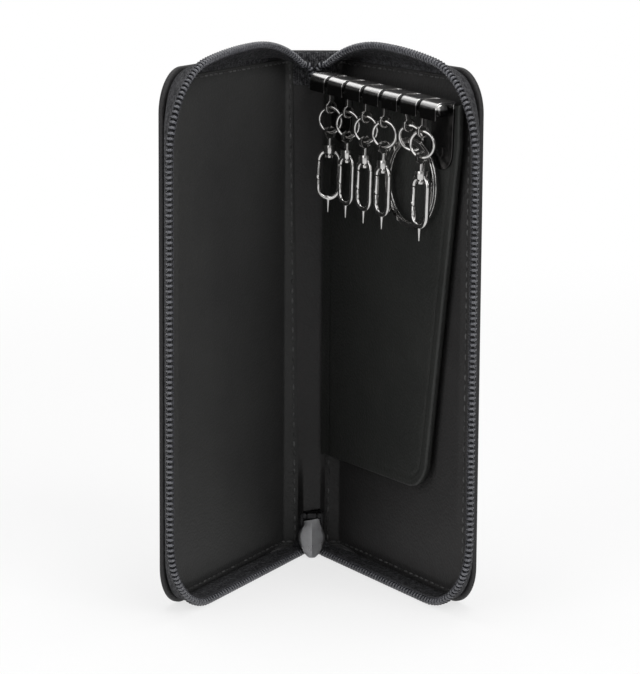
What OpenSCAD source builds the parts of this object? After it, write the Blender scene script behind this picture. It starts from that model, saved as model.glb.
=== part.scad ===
// Zip-around key case, standing half open like a book on its lower edge.
// The spine is at the back, both covers come forward, and a leather page between them
// carries a rail with six swinging hooks, five swivel clasps and one split ring.
// The origin is the middle of the spine's foot: +X right, +Z up, the opening faces -Y.

/* [Case] */
// Height of the covers and the spine
case_h = 125; // [115:1:140]
// Width of a cover from its fold to its free edge
cover_w = 62; // [59:1:75]
// Distance between the two folds
spine_w = 16; // [15:0.5:20]
// Angle of each opened cover from straight ahead
open_angle = 27; // [22:1:35]
// Thickness of the outer leather with its turned edge
shell_t = 1.6; // [1.2:0.1:1.8]
// Thickness of the stiffening board in a cover
board_t = 0.6; // [0.4:0.1:0.8]
// Thickness of the lining leather
lining_t = 0.7; // [0.5:0.1:0.8]
// Corner radius of the covers
corner_r = 10; // [8:0.5:14]
// Clearance in a leather fold
fold_gap = 0.2; // [0.15:0.05:0.3]

/* [Zip] */
// Distance that the side tape stands out past the free edge
tape_side = 7.5; // [5:0.5:9]
// Distance that the top tape stands out past the top edge
tape_top = 2.4; // [1.5:0.1:3.5]
// Thickness of the tape
tape_t = 0.6; // [0.4:0.1:0.7]
// Outward swell of the tape halfway up
tape_swell = 1.2; // [0.6:0.1:1.6]
// Radius of a coil tooth
tooth_r = 0.42; // [0.36:0.02:0.46]
// Distance from one coil tooth to the next
tooth_pitch = 1.21; // [1.15:0.01:1.4]
// Corner radius of the coil at the top
coil_top_r = 22; // [16:1:24]
// Corner radius of the coil at the bottom
coil_bottom_r = 18; // [14:1:22]
// Radius with which the coil drops towards the spine at the top
coil_spine_r = 12; // [10:1:14]

/* [Slider and puller] */
// Width of the slider
slider_w = 5.4; // [4.6:0.2:6]
// Length of the slider
slider_l = 6.8; // [6:0.2:8]
// Widest part of the puller leaf
puller_w = 6.6; // [5.4:0.2:8]
// Length of the puller leaf from its shoulders to its tip
puller_l = 8.8; // [7:0.2:9]
// Thickness of the puller leaf at its ridge
puller_t = 1.2; // [1:0.1:1.4]

/* [Page] */
// Distance by which the page at its top is narrower than a cover
page_margin = 2; // [1.5:0.5:6]
// Distance by which the page's free edge leans in from top to bottom
page_taper = 13; // [9:0.5:16]
// Height of the page's bottom edge above the floor
page_foot = 25.5; // [18:0.5:35]
// Distance from the page's top edge to the top of the case
page_drop = 5.2; // [4.5:0.1:8]
// Thickness of each of the page's two leathers
page_leather_t = 0.8; // [0.6:0.1:0.9]
// Corner radius at the page's bottom
page_corner_r = 8; // [5:1:12]

/* [Hook rail] */
// Number of hooks on the rail
hook_count = 6; // [6]
// Angle by which the rail slopes down towards the free edge
rail_slope = 2.5; // [0:0.5:3]
// Distance from the page's face to the middle of the rod
rod_standoff = 4.4; // [4.2:0.1:4.6]
// Radius of the rod
rod_r = 0.65; // [0.5:0.05:0.75]
// Outer radius of the rolled knuckles
knuckle_r = 1.65; // [1.5:0.05:1.8]
// Thickness of the rail's sheet metal
sheet_t = 0.5; // [0.4:0.05:0.6]

/* [Rings and clasps] */
// Outer diameter of the small rings
ring_d = 6.8; // [6:0.2:7.2]
// Wire diameter of the small rings
ring_wire = 0.8; // [0.7:0.05:0.9]
// Outer width of a clasp
clasp_w = 6.2; // [5.6:0.1:6.4]
// Outer height of a clasp's frame
clasp_h = 12.8; // [11.6:0.2:14]
// Wire diameter of a clasp
clasp_wire = 1.2; // [1:0.05:1.3]
// Length of a clasp's pointed tail
tail_l = 2.8; // [1.5:0.1:4]
// Outer diameter of the split ring
split_ring_d = 21; // [18:0.5:22]
// Radial width of the split ring's wire
split_ring_wire = 1.3; // [1:0.1:1.5]
// Thickness of the split ring along its axis
split_ring_t = 1.2; // [1:0.05:1.2]

/* [Hidden] */
$fn = 48;

// Length by which a cut runs past what it cuts
overrun = 1;

// Covers, in a frame with x along the cover and y along its inward normal
fold_x = spine_w / 2;
bead_r = shell_t / 2;
board_y = shell_t / 2;
lining_y = board_y + board_t;
lining_top = lining_y + lining_t;
board_inset = 4;
lining_inset = 3.2;
lining_start = 2;
lining_clear = 0.4;

// Coil line and tape
rim_inset = 1;
rim_clear = 0.1;
mesh_gap = 0.2;
tooth_l = 1.55;
tooth_seat = 0.05;
coil_floor = 0.95;
tape_root_y = board_y + rim_clear + tape_t / 2;
tape_edge_y = fold_x - mesh_gap - tooth_l - tooth_seat;
coil_side = cover_w + tape_side;
coil_top = case_h + tape_top;
coil_drop_angle = 138;
coil_drop_u = 11.5;
coil_end_u = 6.5;
coil_steps = [6, 4, 10, 4, 10, 4];

// Zip ends on the spine
stop_z = case_h - 7.6;
stop_w = 3;
stop_h = 1.8;
stop_t = 1.1;
stub_lean = 0.35;
stub_l = 3.4;
slider_z = 4.4;
slider_clear = 0.1;
shield_t = 0.8;
slider_gap = 1.3;
slider_neck_w = 1.4;
ear_t = 0.8;
ear_gap = 0.15;
pin_r = 0.45;
pin_clear = 0.06;
barrel_r = 0.85;
barrel_w = 2.6;
leaf_clear = 0.15;
pivot_drop = 0.9;
pivot_out = 0.95;
leaf_shoulder_share = 0.64;
leaf_wide_share = 0.48;
leaf_edge_share = 0.45;
leaf_tip_w = 0.7;

// Page, in a frame with x along the page and -y towards the left cover
page_root_x = 3;
page_root_y = -2.5;
page_lean = 1.5;
root_bead_r = 0.7;
root_w = 3.6;
page_gap = 0.2;
page_top_w = cover_w - page_margin;
page_top_z = case_h - page_drop;
page_top_slope_drop = 2.5;
page_upright_l = 9;
page_h = page_top_z - page_foot;
page_edge_h = page_h - page_top_slope_drop - page_upright_l;
page_edge_lean = atan(page_taper / page_edge_h);

// Rail, in a frame at its left end with x along the rod and z square to it
rail_start = 3.8;
rail_end_margin = 0.4;
rail_l = page_top_w - rail_end_margin - rail_start;
slot_share = 0.2;
hook_pitch = rail_l / (hook_count + 1 - slot_share);
slot_w = hook_pitch * slot_share;
knuckle_l = hook_pitch - slot_w;
rail_drop = 1.1;
rail_z = page_top_z - rail_drop;
rod_y = -(page_leather_t + rod_standoff);
rod_clear = 0.06;
lip_h = 2.5;
plate_h = 3.4;
plate_inset = 1.1;
tab_w = 9;
tab_l = 14.5;
rivet_r = 0.8;
rivet_head_r = 1.4;
rivet_head_h = 0.4;
rivet_up = 4.2;
rivet_l = sheet_t + 2 * page_leather_t;
rod_head_r = 1.2;
rod_head_t = 0.6;

// Hooks and rings, measured down from the rod
hook_t = 0.9;
hook_eye_r = 1.45;
hook_bore_clear = 0.08;
hook_web = 1.3;
ring_hole_r = 1.1;
ring_hole_wall = 0.45;
hook_l = 5.8;
ring_line_r = (ring_d - ring_wire) / 2;
ring_mid = hook_l + ring_line_r;
ring_foot = hook_l + 2 * ring_line_r;
ring_yaw = 30;

// Swivels and clasps
post_r = 0.62;
post_clear = 0.08;
swivel_head_r = 1.05;
swivel_head_h = 0.6;
swivel_t = 0.9;
collar_r = 1.5;
collar_l = 1.9;
collar_down = 3;
collar_top = ring_foot + collar_down;
head_gap = 0.5;
head_top = collar_top + collar_l + head_gap;
clasp_line_r = (clasp_w - clasp_wire) / 2;
clasp_straight = clasp_h - clasp_w;
clasp_upper = collar_top + collar_l - clasp_wire / 2 + clasp_line_r;
clasp_lower = clasp_upper + clasp_straight;
gate_share = 0.72;
gate_gap = 0.15;
gate_r = 0.5;
knob_r = 0.65;
knob_out = 0.2;
knob_share = 0.86;
tail_tip_r = 0.2;
tail_r = 0.62;
clasp_yaws = [50, 4, 4, 3, 0, 6];

// Chain of the split ring, tucked behind the clasps beside it
split_hook = 5;
split_clear = 0.35;
split_y = ring_hole_r + ring_hole_wall + split_clear + split_ring_t / 2;
tuck_angle = 14;
split_seat = 2.2;
split_line_r = (split_ring_d - split_ring_wire) / 2;
split_mid = ring_foot * cos(tuck_angle) - split_seat + split_line_r;
split_lap_gap = 0.1;

// Points and lines of the zip

// A stretch is [centre at its start, centre at its end, radius, angle at its start, angle
// at its end]: a line has no radius, and its angle is the side that faces outwards.
function stretch_angle(s, f) = s[3] + (s[4] - s[3]) * f;
function stretch_point(s, f) =
    let (a = stretch_angle(s, f))
    s[0] + (s[1] - s[0]) * f + s[2] * [cos(a), sin(a)];
function stretch_length(s) = norm(s[1] - s[0]) + s[2] * abs(s[4] - s[3]) * PI / 180;
function turned(c, r, a) = [c[0] + r * cos(a), c[1] + r * sin(a)];

coil_drop_c = [coil_drop_u, coil_top - coil_spine_r];
coil_start_u = turned(coil_drop_c, coil_spine_r, coil_drop_angle)[0];
coil_top_c = [coil_side - coil_top_r, coil_top - coil_top_r];
coil_bottom_c = [coil_side - coil_bottom_r, coil_floor + coil_bottom_r];
coil_line = [
    [coil_drop_c, coil_drop_c, coil_spine_r, coil_drop_angle, 90],
    [[coil_drop_u, coil_top], [coil_top_c[0], coil_top], 0, 90, 90],
    [coil_top_c, coil_top_c, coil_top_r, 90, 0],
    [[coil_side, coil_top_c[1]], [coil_side, coil_bottom_c[1]], 0, 0, 0],
    [coil_bottom_c, coil_bottom_c, coil_bottom_r, 0, -90],
    [[coil_bottom_c[0], coil_floor], [coil_end_u, coil_floor], 0, -90, -90]
];

rim_r = corner_r - rim_inset;
rim_top = case_h - rim_inset;
rim_side = cover_w - rim_inset;
rim_top_c = [cover_w - corner_r, case_h - corner_r];
rim_bottom_c = [cover_w - corner_r, corner_r];
rim_line = [
    [[coil_start_u, rim_top], [coil_drop_u, rim_top], 0, 90, 90],
    [[coil_drop_u, rim_top], [rim_top_c[0], rim_top], 0, 90, 90],
    [rim_top_c, rim_top_c, rim_r, 90, 0],
    [[rim_side, rim_top_c[1]], [rim_side, rim_bottom_c[1]], 0, 0, 0],
    [rim_bottom_c, rim_bottom_c, rim_r, 0, -90],
    [[rim_bottom_c[0], rim_inset], [coil_end_u, rim_inset], 0, -90, -90]
];

// Reach of the tape at a fraction of a stretch, as [outwards, inwards]
function tape_reach(i, f) =
    let (
        a = stretch_angle(rim_line[i], f),
        d = stretch_point(coil_line[i], f) - stretch_point(rim_line[i], f)
    )
    [d[0] * cos(a) + d[1] * sin(a), tape_edge_y - tape_root_y];

// Six corners of the tape's cross-section at a fraction of a stretch
function tape_section(i, f) =
    let (
        a = stretch_angle(rim_line[i], f),
        root = stretch_point(rim_line[i], f),
        edge = stretch_point(coil_line[i], f),
        reach = tape_reach(i, f),
        side = [reach[1], -reach[0]] / norm(reach) * tape_t / 2,
        across = [side[0] * cos(a), side[1], side[0] * sin(a)],
        swell = tape_swell * reach[0] / tape_side,
        p = [root[0], tape_root_y, root[1]],
        q = [edge[0], tape_edge_y, edge[1]],
        m = (p + q) / 2 + swell * [cos(a), 0, sin(a)]
    )
    [p + across, m + across, q + across, q - across, m - across, p - across];

// Frames

module cover_frame(side) {
    mirror([side > 0 ? 1 : 0, 0, 0])
        translate([-fold_x, 0, 0])
            rotate([0, 0, -90 - open_angle])
                children();
}

module page_frame() {
    translate([page_root_x, page_root_y, 0])
        rotate([0, 0, open_angle + page_lean - 90])
            children();
}

module rail_frame() {
    page_frame()
        translate([rail_start, rod_y, rail_z])
            rotate([0, rail_slope, 0])
                children();
}

// Frame of a hook's chain: its origin is on the rod in the middle of the hook's slot
module chain_frame(n) {
    rail_frame()
        translate([n * hook_pitch - slot_w / 2, 0, 0])
            children();
}

// Frame of a clasp, turned about the chain's line
module clasp_frame(n) {
    chain_frame(n)
        rotate([0, 0, clasp_yaws[n - 1]])
            children();
}

// A flat sheet in the upright plane, from y to y + t
module upright_sheet(y, t) {
    translate([0, y + t, 0])
        rotate([90, 0, 0])
            linear_extrude(t)
                children();
}

// Covers and spine

module cover_outline(start, inset) {
    r = corner_r - inset;
    w = cover_w - inset - start;
    h = case_h - 2 * inset;
    translate([start, inset])
        square([w - r, h]);
    translate([start, corner_r])
        square([w, h - 2 * r]);
    for (z = [corner_r, case_h - corner_r])
        translate([cover_w - corner_r, z])
            circle(r);
}

module cover_shell(side) {
    color("#1c1c1e")
        cover_frame(side) {
            cylinder(h = case_h, r = bead_r);
            upright_sheet(-bead_r, shell_t)
                cover_outline(0, 0);
        }
}

module cover_board(side) {
    color("#6a5a48")
        cover_frame(side)
            upright_sheet(board_y, board_t)
                cover_outline(lining_start, board_inset);
}

module cover_lining(side) {
    color("#29292b")
        cover_frame(side)
            upright_sheet(lining_y, lining_t)
                cover_outline(lining_start, lining_inset);
}

module spine_shell() {
    w = spine_w - 2 * (bead_r + fold_gap);
    color("#1c1c1e")
        translate([-w / 2, -shell_t / 2, 0])
            cube([w, shell_t, case_h]);
}

spine_lining_w = spine_w - 2 * (lining_top + lining_clear);
spine_lining_y = -shell_t / 2 - board_t;
spine_lining_foot = 8;
spine_lining_slant = 1.4;
spine_lining_head = 3;

module spine_lining() {
    w = spine_lining_w;
    color("#29292b")
        upright_sheet(spine_lining_y, board_t)
            polygon([
                [-w / 2, spine_lining_foot + spine_lining_slant],
                [w / 2, spine_lining_foot],
                [w / 2, case_h - spine_lining_head],
                [-w / 2, case_h - spine_lining_head]
            ]);
}

// Zip

module tape(side) {
    sections = [
        for (i = [0:len(coil_line) - 1])
            for (k = [(i == 0 ? 0 : 1):coil_steps[i]])
                tape_section(i, k / coil_steps[i])
    ];
    n = len(sections[0]);
    last = len(sections) - 1;
    points = [for (s = sections) for (p = s) p];
    sides = [
        for (j = [0:last - 1])
            for (k = [0:n - 1])
                let (a = j * n + k, b = j * n + (k + 1) % n)
                [a, b, b + n, a + n]
    ];
    halves = [
        [0, 1, 4, 5],
        [1, 2, 3, 4]
    ];
    ends = [
        for (h = halves) [h[3], h[2], h[1], h[0]],
        for (h = halves) [for (k = h) k + last * n]
    ];
    triangles = [for (q = concat(sides, ends)) each [[q[0], q[2], q[1]], [q[0], q[3], q[2]]]];
    color("#2b2c2f")
        cover_frame(side)
            polyhedron(points, triangles, convexity = 6);
}

// Teeth of one coil, each seated on the tape's edge and leaning with it
module coil(side) {
    color("#3a3b3f")
        cover_frame(side)
            for (i = [0:len(coil_line) - 1]) {
                s = coil_line[i];
                count = floor(stretch_length(s) / tooth_pitch);
                for (k = [0:count - 1]) {
                    f = (k + 1 / 2) / count;
                    p = stretch_point(s, f);
                    reach = tape_reach(i, f);
                    translate([p[0], tape_edge_y, p[1]])
                        rotate([0, -stretch_angle(rim_line[i], f), 0])
                            rotate([0, 0, -atan2(reach[0], reach[1])])
                                translate([0, tooth_seat, 0])
                                    rotate([-90, 0, 0])
                                        cylinder(h = tooth_l, r = tooth_r);
                }
            }
}

// Where the two coils meet at the top of the spine
module zip_top_stop() {
    y = spine_lining_y - slider_clear - stop_t;
    color("#3a3b3f") {
        translate([-stop_w / 2, y, stop_z])
            cube([stop_w, stop_t, stop_h]);
        for (side = [-1, 1])
            translate([side * stub_lean * stop_w, y + stop_t / 2, stop_z + stop_h / 2])
                cylinder(h = stub_l, r = tooth_r);
    }
}

slider_back_y = spine_lining_y - slider_clear;
slider_front_y = slider_back_y - 2 * shield_t - slider_gap;
pivot_y = slider_front_y - pivot_out;
pivot_z = slider_z + slider_l - pivot_drop;

// One shield of the slider: a rounded plate that narrows towards its foot
module slider_shield(y) {
    r = slider_w / 4;
    upright_sheet(y, shield_t) {
        translate([-slider_w / 2, slider_z + slider_l / 2])
            square([slider_w, slider_l / 2 - r]);
        translate([-slider_w / 2 + r, slider_z + slider_l / 2])
            square([slider_w - 2 * r, slider_l / 2]);
        for (side = [-1, 1])
            translate([side * (slider_w / 2 - r), slider_z + slider_l - r])
                circle(r);
        polygon([
            [-slider_w / 2, slider_z + slider_l / 2],
            [-slider_w / 3, slider_z],
            [slider_w / 3, slider_z],
            [slider_w / 2, slider_z + slider_l / 2]
        ]);
    }
}

module zip_slider() {
    ear_x = barrel_w / 2 + ear_gap;
    ear_h = 2 * barrel_r;
    color("#303136") {
        slider_shield(slider_back_y - shield_t);
        slider_shield(slider_front_y);
        translate([-slider_neck_w / 2, slider_front_y + shield_t, slider_z + slider_l / 2])
            cube([slider_neck_w, slider_gap, slider_l / 2]);
        for (side = [-1, 1])
            translate([side * (ear_x + ear_t / 2), slider_front_y, pivot_z])
                rotate([90, 0, 90]) {
                    translate([-pivot_out, -ear_h / 2, -ear_t / 2])
                        cube([pivot_out, ear_h, ear_t]);
                    translate([-pivot_out, 0, -ear_t / 2])
                        cylinder(h = ear_t, r = ear_h / 2);
                }
        translate([-ear_x - ear_t / 2, pivot_y, pivot_z])
            rotate([0, 90, 0])
                cylinder(h = 2 * ear_x + ear_t, r = pin_r);
    }
}

// Puller: a barrel on the slider's pin and a ridged leaf that ends in a point
module zip_puller() {
    top = pivot_z - barrel_r / 2;
    leaf_top = pivot_z - barrel_r - leaf_clear;
    wide_z = leaf_top - puller_l * leaf_wide_share;
    tip_z = leaf_top - puller_l;
    shoulder = puller_w * leaf_shoulder_share / 2;
    back_y = pivot_y + puller_t / 2;
    edge_t = puller_t * leaf_edge_share;
    color("#b9bbc0")
        difference() {
            union() {
                translate([-barrel_w / 2, pivot_y, pivot_z])
                    rotate([0, 90, 0])
                        cylinder(h = barrel_w, r = barrel_r);
                intersection() {
                    upright_sheet(back_y - puller_t, puller_t)
                        polygon([
                            [-barrel_w / 2, top],
                            [-barrel_w / 2, leaf_top],
                            [-shoulder, leaf_top],
                            [-puller_w / 2, wide_z],
                            [-leaf_tip_w / 2, tip_z],
                            [leaf_tip_w / 2, tip_z],
                            [puller_w / 2, wide_z],
                            [shoulder, leaf_top],
                            [barrel_w / 2, leaf_top],
                            [barrel_w / 2, top]
                        ]);
                    translate([0, 0, tip_z - overrun])
                        linear_extrude(puller_l + 2 * overrun + barrel_r)
                            polygon([
                                [-puller_w / 2, back_y],
                                [-puller_w / 2, back_y - edge_t],
                                [0, back_y - puller_t],
                                [puller_w / 2, back_y - edge_t],
                                [puller_w / 2, back_y]
                            ]);
                }
            }
            translate([-barrel_w / 2 - overrun, pivot_y, pivot_z])
                rotate([0, 90, 0])
                    cylinder(h = barrel_w + 2 * overrun, r = pin_r + pin_clear);
        }
}

// Page

// Narrow root strip, sewn along the spine, on which the page turns
module page_root() {
    h = page_h - page_top_slope_drop;
    color("#232325")
        page_frame()
            translate([0, 0, page_foot]) {
                cylinder(h = h, r = root_bead_r);
                translate([0, -root_bead_r, 0])
                    cube([root_w - page_leather_t - page_gap, 2 * root_bead_r, h]);
            }
}

// Outline of the page: the top slopes, the free edge is upright at first, leans in below
// and ends in a round corner
module page_outline(start) {
    lean = page_edge_lean;
    r = page_corner_r;
    steps = 10;
    outer_z = page_top_z - page_top_slope_drop;
    bend_z = outer_z - page_upright_l;
    corner_z = page_foot + r;
    corner = [page_top_w - ((bend_z - corner_z) * sin(lean) + r) / cos(lean), corner_z];
    polygon(concat(
        [[start, page_top_z], [start, page_foot]],
        [for (k = [0:steps]) turned(corner, r, -90 + (90 - lean) * k / steps)],
        [[page_top_w, bend_z], [page_top_w, outer_z]]
    ));
}

// Places of the rivets, on the rail's two tabs
module at_rivets() {
    for (x = [plate_inset + tab_w / 2, rail_l - plate_inset - tab_w / 2])
        rail_frame()
            translate([x, rod_standoff - sheet_t, rivet_up - tab_l])
                rotate([-90, 0, 0])
                    children();
}

module rivet_holes() {
    at_rivets()
        translate([0, 0, -overrun])
            cylinder(h = rivet_l + 2 * overrun, r = rivet_r + rod_clear);
}

module key_page() {
    color("#232325")
        difference() {
            page_frame() {
                translate([root_w, 0, page_foot])
                    cylinder(h = page_h, r = page_leather_t);
                upright_sheet(-page_leather_t, page_leather_t)
                    page_outline(root_w);
            }
            rivet_holes();
        }
}

module key_page_back() {
    color("#232325")
        difference() {
            page_frame()
                upright_sheet(0, page_leather_t)
                    page_outline(root_w + page_leather_t);
            rivet_holes();
        }
}

// Hook rail

// Section of the folded sheet: a rolled tube, a lip in front and a web to the back plate
module knuckle_section() {
    difference() {
        union() {
            circle(knuckle_r);
            translate([-knuckle_r, -lip_h])
                square([sheet_t, lip_h]);
            translate([0, knuckle_r - sheet_t])
                square([rod_standoff - sheet_t, sheet_t]);
        }
        circle(rod_r + rod_clear);
    }
}

module rail_plate_outline() {
    w = rail_l - 2 * plate_inset;
    r = tab_w / 2;
    translate([plate_inset, knuckle_r - plate_h])
        square([w, plate_h]);
    for (x = [plate_inset, rail_l - plate_inset - tab_w]) {
        translate([x, r - tab_l])
            square([tab_w, tab_l - r]);
        translate([x + r, r - tab_l])
            circle(r);
    }
}

module hook_rail() {
    color("#55565b")
        difference() {
            rail_frame() {
                for (k = [0:hook_count])
                    translate([k * hook_pitch, 0, 0])
                        rotate([90, 0, 90])
                            linear_extrude(knuckle_l)
                                knuckle_section();
                upright_sheet(rod_standoff - sheet_t, sheet_t)
                    rail_plate_outline();
            }
            rivet_holes();
        }
}

module rail_rod() {
    color("#55565b")
        rail_frame()
            rotate([0, 90, 0]) {
                cylinder(h = rail_l, r = rod_r);
                for (x = [-rod_head_t, rail_l])
                    translate([0, 0, x])
                        cylinder(h = rod_head_t, r = rod_head_r);
            }
}

module rail_rivets() {
    color("#6a6b70")
        at_rivets() {
            translate([0, 0, -rivet_head_h])
                cylinder(h = rivet_head_h, r = rivet_head_r);
            cylinder(h = rivet_l, r = rivet_r);
            translate([0, 0, rivet_l])
                cylinder(h = rivet_head_h, r = rivet_head_r);
        }
}

// Hooks and rings

// An eye in a flat link: its outer disc
module link_disc(down, r) {
    translate([0, -down])
        circle(r);
}

// A link stands square to the rod and is cut from sheet
module link(t) {
    translate([-t / 2, 0, 0])
        rotate([90, 0, 90])
            linear_extrude(t)
                children();
}

module hang(n) {
    chain_frame(n)
        rotate([n == split_hook ? tuck_angle : 0, 0, 0])
            children();
}

module hook(n) {
    color("#55565b")
        hang(n)
            link(hook_t)
                difference() {
                    union() {
                        link_disc(0, hook_eye_r);
                        link_disc(hook_l, ring_hole_r + ring_hole_wall);
                        translate([-hook_web / 2, -hook_l])
                            square([hook_web, hook_l]);
                    }
                    link_disc(0, rod_r + hook_bore_clear);
                    link_disc(hook_l, ring_hole_r);
                }
}

module jump_ring(n) {
    color("#6a6b70")
        hang(n)
            translate([0, 0, -ring_mid])
                rotate([0, 0, ring_yaw])
                    rotate([90, 0, 0])
                        rotate_extrude()
                            translate([ring_line_r, 0])
                                circle(ring_wire / 2);
}

module split_ring() {
    lap = (split_ring_t - split_lap_gap) / 2;
    color("#6a6b70")
        chain_frame(split_hook)
            translate([0, split_y, -split_mid])
                rotate([90, 0, 0])
                    for (z = [-split_ring_t / 2, split_ring_t / 2 - lap])
                        rotate_extrude()
                            translate([split_line_r - split_ring_wire / 2, z])
                                square([split_ring_wire, lap]);
}

// Swivels, clasps and gates

module swivel(n) {
    post_l = collar_top + collar_l + head_gap - ring_foot - ring_hole_r;
    color("#6a6b70")
        chain_frame(n) {
            link(swivel_t)
                difference() {
                    link_disc(ring_foot, ring_hole_r + ring_hole_wall);
                    link_disc(ring_foot, ring_hole_r);
                }
            translate([0, 0, -ring_foot - ring_hole_r - ring_hole_wall / 2 - post_l])
                cylinder(h = post_l, r = post_r);
            translate([0, 0, -head_top - swivel_head_h])
                cylinder(h = swivel_head_h, r = swivel_head_r);
        }
}

// Half of a ring of round wire: the upper half, or the lower half if down is true
module half_ring(down) {
    rotate([down ? -90 : 90, 0, 0])
        rotate_extrude(angle = 180)
            translate([clasp_line_r, 0])
                circle(clasp_wire / 2);
}

module clasp(n) {
    nose = clasp_straight * (1 - gate_share);
    color("#55565b")
        difference() {
            clasp_frame(n) {
                translate([0, 0, -collar_top - collar_l])
                    cylinder(h = collar_l, r = collar_r);
                translate([0, 0, -clasp_upper])
                    half_ring(false);
                translate([0, 0, -clasp_lower])
                    half_ring(true);
                translate([clasp_line_r, 0, -clasp_lower])
                    cylinder(h = clasp_straight, r = clasp_wire / 2);
                translate([-clasp_line_r, 0, -clasp_lower])
                    cylinder(h = nose, r = clasp_wire / 2);
                translate([0, 0, -clasp_lower - clasp_line_r - tail_l - clasp_wire / 2])
                    cylinder(h = tail_l + clasp_wire / 2, r1 = tail_tip_r, r2 = tail_r);
            }
            clasp_frame(n)
                translate([0, 0, -collar_top - collar_l - overrun])
                    cylinder(h = collar_l + 2 * overrun, r = post_r + post_clear);
        }
}

// Sprung gate: a bar under its pivot, with a knob for the thumb near its lower end
module gate(n) {
    l = clasp_straight * gate_share - 2 * gate_gap - gate_r;
    color("#6a6b70")
        clasp_frame(n)
            translate([-clasp_line_r, 0, -clasp_upper - gate_gap - gate_r]) {
                sphere(gate_r);
                translate([0, 0, -l])
                    cylinder(h = l, r = gate_r);
                translate([-knob_out, 0, -l * knob_share])
                    sphere(knob_r);
            }
}

spine_shell();
cover_shell(-1);  // left_shell
cover_shell(1);  // right_shell
cover_board(-1);  // left_board
cover_board(1);  // right_board
cover_lining(-1);  // left_lining
cover_lining(1);  // right_lining
spine_lining();
tape(-1);  // left_tape
tape(1);  // right_tape
coil(-1);  // left_coil
coil(1);  // right_coil
zip_top_stop();
zip_slider();
zip_puller();
page_root();
key_page();
key_page_back();
hook_rail();
rail_rod();
rail_rivets();
hook(1);  // hook_1
hook(2);  // hook_2
hook(3);  // hook_3
hook(4);  // hook_4
hook(5);  // hook_5
hook(6);  // hook_6
jump_ring(1);  // jump_ring_1
jump_ring(2);  // jump_ring_2
jump_ring(3);  // jump_ring_3
jump_ring(4);  // jump_ring_4
jump_ring(5);  // jump_ring_5
jump_ring(6);  // jump_ring_6
swivel(1);  // swivel_1
swivel(2);  // swivel_2
swivel(3);  // swivel_3
swivel(4);  // swivel_4
swivel(6);  // swivel_6
clasp(1);  // clasp_1
clasp(2);  // clasp_2
clasp(3);  // clasp_3
clasp(4);  // clasp_4
clasp(6);  // clasp_6
gate(1);  // gate_1
gate(2);  // gate_2
gate(3);  // gate_3
gate(4);  // gate_4
gate(6);  // gate_6
split_ring();
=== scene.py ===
"""Looks of the zip-around key case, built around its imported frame. Sizes are in millimetres."""
import math

import bmesh
import bpy
import numpy as np
from mathutils import Matrix, Vector


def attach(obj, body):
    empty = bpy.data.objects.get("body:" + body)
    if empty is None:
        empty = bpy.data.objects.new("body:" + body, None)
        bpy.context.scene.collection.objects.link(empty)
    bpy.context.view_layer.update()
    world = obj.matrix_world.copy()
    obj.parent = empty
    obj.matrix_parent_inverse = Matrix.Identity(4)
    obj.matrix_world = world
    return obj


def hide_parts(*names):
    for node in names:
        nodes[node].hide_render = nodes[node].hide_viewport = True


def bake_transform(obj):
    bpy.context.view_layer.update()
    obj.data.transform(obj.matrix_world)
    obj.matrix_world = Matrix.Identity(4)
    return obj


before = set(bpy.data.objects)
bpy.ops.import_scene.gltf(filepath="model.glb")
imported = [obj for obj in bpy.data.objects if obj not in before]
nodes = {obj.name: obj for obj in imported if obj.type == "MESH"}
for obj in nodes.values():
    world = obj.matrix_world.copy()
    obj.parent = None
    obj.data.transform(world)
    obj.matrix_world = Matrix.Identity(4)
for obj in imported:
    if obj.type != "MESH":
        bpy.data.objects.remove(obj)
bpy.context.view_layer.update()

MM = 0.001

# Case, as the frame holds it
CASE_H = 125.0
COVER_W = 62.0
CORNER_R = 10.0
FOLD_X = 8.0
OPEN = math.radians(27)
SHELL_HALF = 0.8

# Bend of the leather between the spine and a cover, on its middle surface
FOLD_R = 2.5
TURN = math.pi / 2 - OPEN
FOLD_TANGENT = FOLD_R * math.tan(TURN / 2)
FOLD_START = FOLD_X - FOLD_TANGENT
FOLD_END = FOLD_START + FOLD_R * TURN
EDGE_S = FOLD_END + COVER_W - FOLD_TANGENT

# Faces of the leather: share of the height left at a rim, swell, waves and radius of the edges
RIM_SHARE = 0.3
WAVES = ((9, 23, 0), (-13, 17, 1), (6, -31, 2))
SHELL_ROUND = 0.9
SHELL_SWELL = 0.22
SHELL_SWELL_RUN = 5
SHELL_WAVES = 0.07
SHELL_WAVES_RUN = 8
LINING_ROUND = 0.45
LINING_WAVES = 0.09
LINING_WAVES_IN = 2
LINING_WAVES_RUN = 6

# Linings, raised over their boards
BOARD_IN = 1.2
BOARD_RUN = 1.8
FOLD_LEAD = 0.5
FOLD_RUN = 9
LINING_INSET = 1.9
LINING_T = 0.65
LINING_LOW = 1.07
LINING_HIGH = 1.45
LINING_START_TOP = 5.0
LINING_START_FOOT = 3.1
LINING_R = CORNER_R - LINING_INSET

# Seams: places, width and depth of their grooves, and the stitches
SEAM_IN = 0.9
SEAM_GROOVE = (0.4, 0.16)
SHELL_SEAM = 2.6
SHELL_GROOVE = (0.45, 0.2)
STITCH_PITCH = 2.4
STITCH_SHARE = 0.66
STITCH_STATIONS = np.array([0, 0.12, 0.3, 0.5, 0.7, 0.88, 1])
STITCH_RADII = np.array([0.7, 0.95, 1.1, 1.12, 1.1, 0.95, 0.7])
STITCH_ARCH = 1.9
STITCH_SINK = 1.45
THREAD_R = 0.2

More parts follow.
